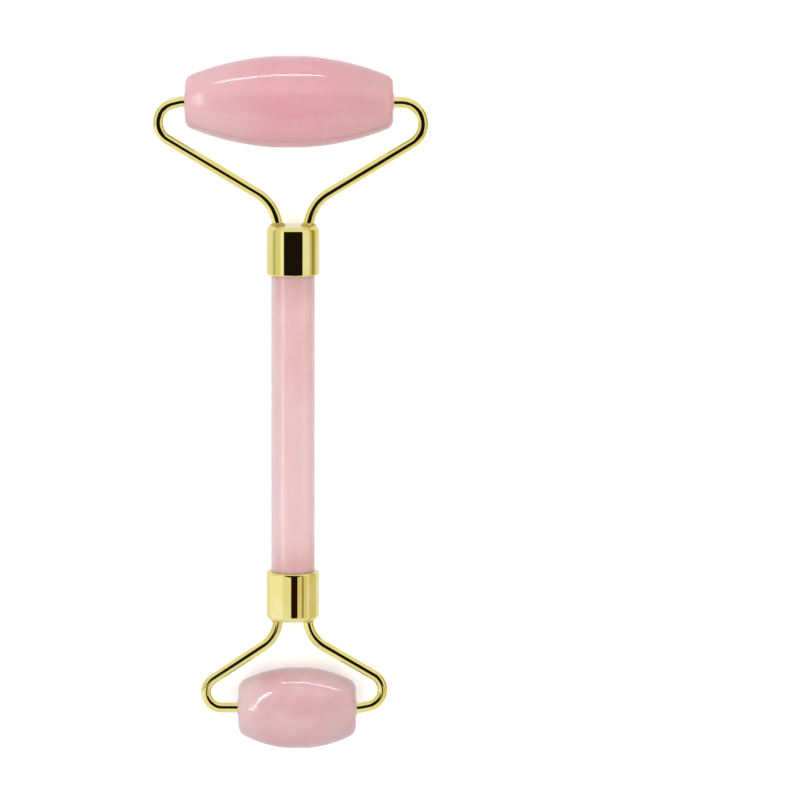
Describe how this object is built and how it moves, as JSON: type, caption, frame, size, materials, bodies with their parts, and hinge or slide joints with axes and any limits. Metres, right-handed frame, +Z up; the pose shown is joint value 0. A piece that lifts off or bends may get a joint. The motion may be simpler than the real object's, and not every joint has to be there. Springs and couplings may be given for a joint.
{
  "type": "face roller",
  "caption": "Double-ended facial massage roller: barrel-shaped pink quartz stones turning in bent gold wire forks at the ends of a round stone handle.",
  "frame": {"origin": "on the surface the roller lies on, under the centre of the whole object's box", "axes": "+X along both rollers' axes, +Y along the handle towards the big roller, +Z up"},
  "size_m": [0.0573, 0.146, 0.019],
  "materials": {
    "handle_stone": "polished",
    "roller_stone": "polished",
    "gold_plate": "polished",
    "braze": "satin",
    "sleeve_plastic": "satin",
    "epoxy": "gloss"
  },
  "bodies": {
    "handle": {"handle_rod": "handle_stone", "big_ferrule": "gold_plate", "small_ferrule": "gold_plate", "big_ferrule_potting": "epoxy", "small_ferrule_potting": "epoxy", "big_fork_left_arm": "gold_plate", "big_fork_left_braze": "braze", "big_fork_right_arm": "gold_plate", "big_fork_right_braze": "braze", "small_fork_left_arm": "gold_plate", "small_fork_left_braze": "braze", "small_fork_right_arm": "gold_plate", "small_fork_right_braze": "braze"},
    "big_roller_body": {"big_roller": "roller_stone", "big_roller_left_sleeve": "sleeve_plastic", "big_roller_right_sleeve": "sleeve_plastic"},
    "small_roller_body": {"small_roller": "roller_stone", "small_roller_left_sleeve": "sleeve_plastic", "small_roller_right_sleeve": "sleeve_plastic"}
  },
  "joints": [
    {"name": "big_roller_spin", "type": "hinge", "parent": "handle", "child": "big_roller_body", "pos_m": [0, 0.0635, 0.0095], "axis": [1, 0, 0], "continuous": true},
    {"name": "small_roller_spin", "type": "hinge", "parent": "handle", "child": "small_roller_body", "pos_m": [0, -0.0645, 0.0085], "axis": [1, 0, 0], "continuous": true}
  ]
}
